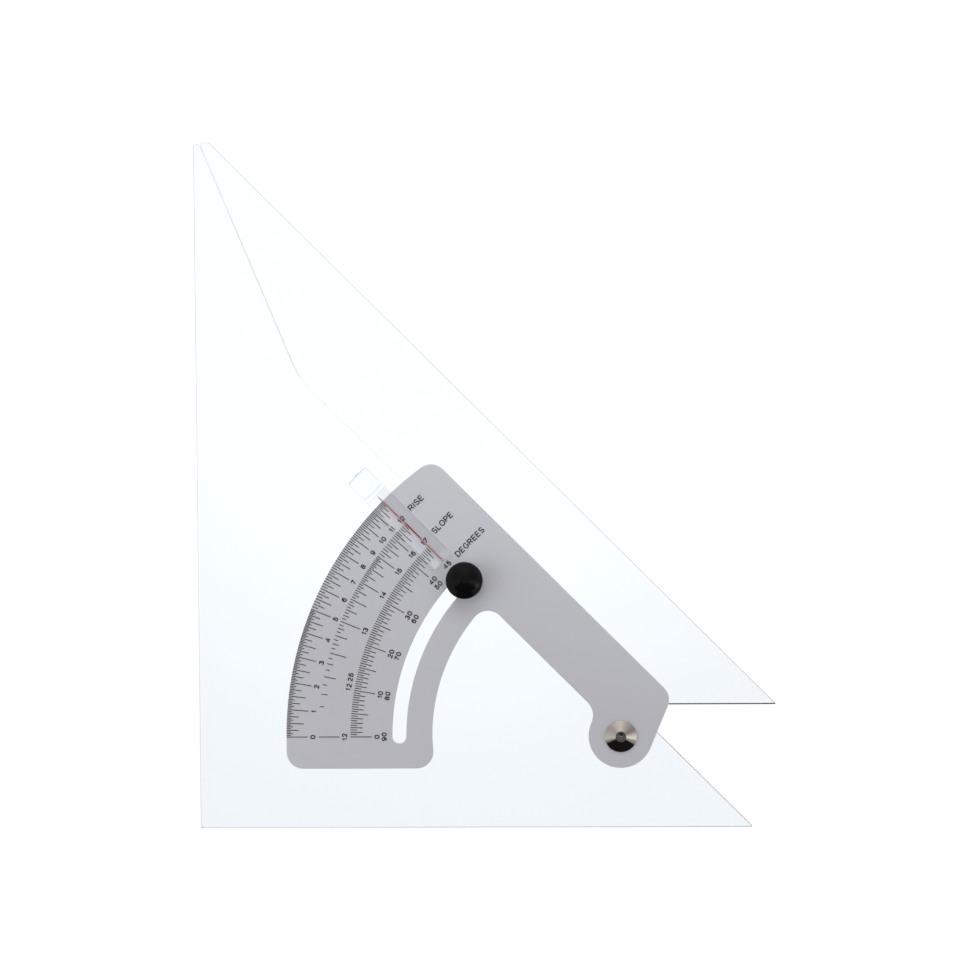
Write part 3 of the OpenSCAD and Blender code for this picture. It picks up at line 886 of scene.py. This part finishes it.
def thread_coil():
    """The ridge of a screw thread, wound along a spiral."""
    steps = Steps("thread_coil", {
        "Turns": "Float", "Radius": "Float", "Ridge": "Float", "Length": "Float",
        "Place": "Vector", "Finish": "Material",
    })
    given = steps.given
    wind = steps.node("GeometryNodeCurveSpiral", None, {
        "Resolution": 36, "Rotations": given["Turns"], "Start Radius": given["Radius"],
        "End Radius": given["Radius"], "Height": given["Length"],
    })
    level = steps.node("GeometryNodeSetCurveNormal", {"mode": "Z_UP"}, {0: wind.outputs[0]})
    ridge = steps.node("GeometryNodeCurvePrimitiveCircle", None, {"Resolution": 4, "Radius": given["Ridge"]})
    coil = steps.node("GeometryNodeCurveToMesh", None, {
        "Curve": level.outputs[0], "Profile Curve": ridge.outputs[0], "Fill Caps": True,
    })
    return steps.ends_in(coil.outputs[0], given["Place"], given["Finish"])


def make_clamp(steel, brass):
    """Stud with its thread and head, and the bush and washer on it."""
    low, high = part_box("lock_stud")
    head_top, shank, neck, chamfer = low.z + 1.2 * MM, 2.0 * MM, 1.7 * MM, 0.3 * MM
    foot, plain = head_top - 0.1 * MM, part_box("guide_bush")[1].z
    corners = [(0, foot), (shank, foot), (shank, plain), (neck, plain + 0.2 * MM)]
    corners += [(neck, high.z - chamfer), (neck - chamfer, high.z), (0, high.z)]
    stud = lathed("stud_shank", STUD, corners, 64)
    own(stud, steel, "steel", "base", "lock_stud")
    runout = 0.4 * MM
    length = high.z - plain - 2 * runout
    coil = grown("stud_thread", thread_coil(), {
        "Turns": length / THREAD_PITCH, "Radius": neck + HAIR, "Ridge": 0.28 * MM, "Length": length,
        "Place": STUD + Vector((0, 0, plain + runout)), "Finish": steel,
    })
    own(coil, steel, "steel", "base")
    own(hex_head(low.z, head_top), steel, "steel", "base")
    dress("guide_bush", brass)
    dress("clamp_washer", steel)


def hex_head(bottom, top):
    """Six-sided head of the stud, let into the underside, with its corners turned off."""
    form = bmesh.new()
    across_flats = 7.0 * MM
    radius = across_flats / 2 / math.cos(math.radians(30))
    turns = [math.radians(60 * side) for side in range(6)]
    rings = [
        [form.verts.new((STUD.x + radius * math.cos(a), STUD.y + radius * math.sin(a), z)) for a in turns]
        for z in (bottom, top)
    ]
    join_rings(form, *rings)
    form.faces.new(rings[0])
    form.faces.new(rings[1])
    bmesh.ops.recalc_face_normals(form, faces=form.faces)
    bmesh.ops.bevel(form, geom=form.edges[:], offset=FINE_EASE, segments=2, profile=0.5, affect="EDGES")
    return kept(form, "stud_head")


def make_floor():
    """A wide table whose top lies just below the square."""
    form = bmesh.new()
    centre, half = Vector((0.12, 0.16, -0.3 * MM)), 4.0
    spots = [(-half, -half), (half, -half), (half, half), (-half, half)]
    form.faces.new([form.verts.new(centre + Vector((x, y, 0))) for x, y in spots])
    table = kept(form, "table_top")
    table.data.materials.append(make_table())


def panel(name, place, size, watts, shadow=True):
    """A soft rectangular light that looks at the middle of the square. A filling light casts no shadow."""
    lamp = bpy.data.lights.new(name, "AREA")
    lamp.shape, lamp.size, lamp.size_y = "RECTANGLE", size[0], size[1]
    lamp.energy, lamp.use_shadow = watts, shadow
    holder = added(name, lamp)
    holder.location = place
    middle = Vector((0.12, 0.12, 0))
    aim = middle - Vector(place)
    holder.rotation_euler = aim.to_track_quat("-Z", "Y").to_euler()
    holder.visible_camera = holder.visible_glossy = False


def make_lights():
    panel("top_low", (0.12, 1.35, 0.75), (1.3, 0.9), 5.4)
    panel("left_low", (-1.15, 0.10, 0.75), (1.0, 0.9), 4.1)
    panel("right_fill", (1.40, 0.20, 0.75), (0.9, 0.9), 3.6, shadow=False)


# Brightness of the tent's upper band, which the cap's cone reflects, by degrees anticlockwise from +X
TENT = (
    (-180, 0.50), (-164, 0.60), (-151, 0.66), (-148, 0.33), (-141, 0.30), (-138, 0.01), (-42, 0.01),
    (-39, 0.30), (-29, 0.42), (-24, 1.00), (-13, 0.78), (4, 0.32), (14, 0.28), (45, 0.45), (85, 0.73),
    (98, 0.72), (150, 0.43), (180, 0.50),
)


def make_sky():
    """Soft tent: a pale low band with a gap towards the reader, an upper band, a dim top and a window."""
    world = bpy.data.worlds.new("pale_tent")
    bpy.context.scene.world = world
    world.use_nodes = True
    sky = Board(world.node_tree)
    upward = sky.node("ShaderNodeTexCoord").outputs["Generated"]
    x, y, z = [Level(sky, part) for part in sky.node("ShaderNodeSeparateXYZ", None, {0: upward}).outputs]
    turn = y.math("ARCTAN2", y, x) / (2 * math.pi) + 0.5
    stops = [(angle / 360 + 0.5, (level, 0.965 * level, 0.93 * level)) for angle, level in TENT]
    round_about = sky.node("ShaderNodeValToRGB", {"stops": stops}, {"Fac": turn}).outputs[0]
    reach = (x * x + y * y + 0.0001) ** 0.5
    gap = (-1 * y / reach).between(0.80, 0.93) * z.between(0.08, 0.30)
    window = (0.714 * x - 0.360 * y + 0.601 * z).between(0.988, 0.999)
    shade = sky.mix(gap, colour(0.62, 0.60, 0.59), colour(0.02, 0.02, 0.02))
    shade = sky.mix(z.between(0.58, 0.70), shade, round_about)
    shade = sky.mix(z.between(0.950, 0.985), shade, colour(0.30, 0.30, 0.31))
    shade = sky.mix(window, shade, colour(2.4, 2.4, 2.4))
    light = sky.node("ShaderNodeBackground", None, {"Color": shade, "Strength": 1.0}).outputs[0]
    sky.node("ShaderNodeOutputWorld", None, {"Surface": light})


def make_camera():
    """The photograph's camera, fitted to the straight edges, the plate's arc and the scale lines."""
    eye = bpy.data.cameras.new("photo_view")
    eye.lens, eye.sensor_width = 90.897, 36
    eye.clip_start, eye.clip_end = 0.01, 50
    holder = added("photo_view", eye)
    holder.location = (0.121875, 0.175355, 0.905387)
    holder.rotation_euler = Euler(tuple(math.radians(a) for a in (-2.8441, 1.0066, -0.3328)), "XYZ")
    bpy.context.scene.camera = holder


def build():
    """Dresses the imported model, then sets up the table, the lights and the camera."""
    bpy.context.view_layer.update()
    bpy.context.scene.view_settings.view_transform = "Standard"
    ink, brass, steel = make_ink(), make_brass(), make_steel()
    make_sheets(make_clear_acrylic())
    make_plate(make_grey_plate())
    make_marks(ink)
    make_numbers(ink)
    make_words(ink)
    make_cursor(make_clear_cursor(), make_red_line())
    make_pivot(brass)
    make_clamp(steel, brass)
    make_knob(make_black_knob(), brass)
    make_floor()
    make_lights()
    make_sky()
    make_camera()


build()
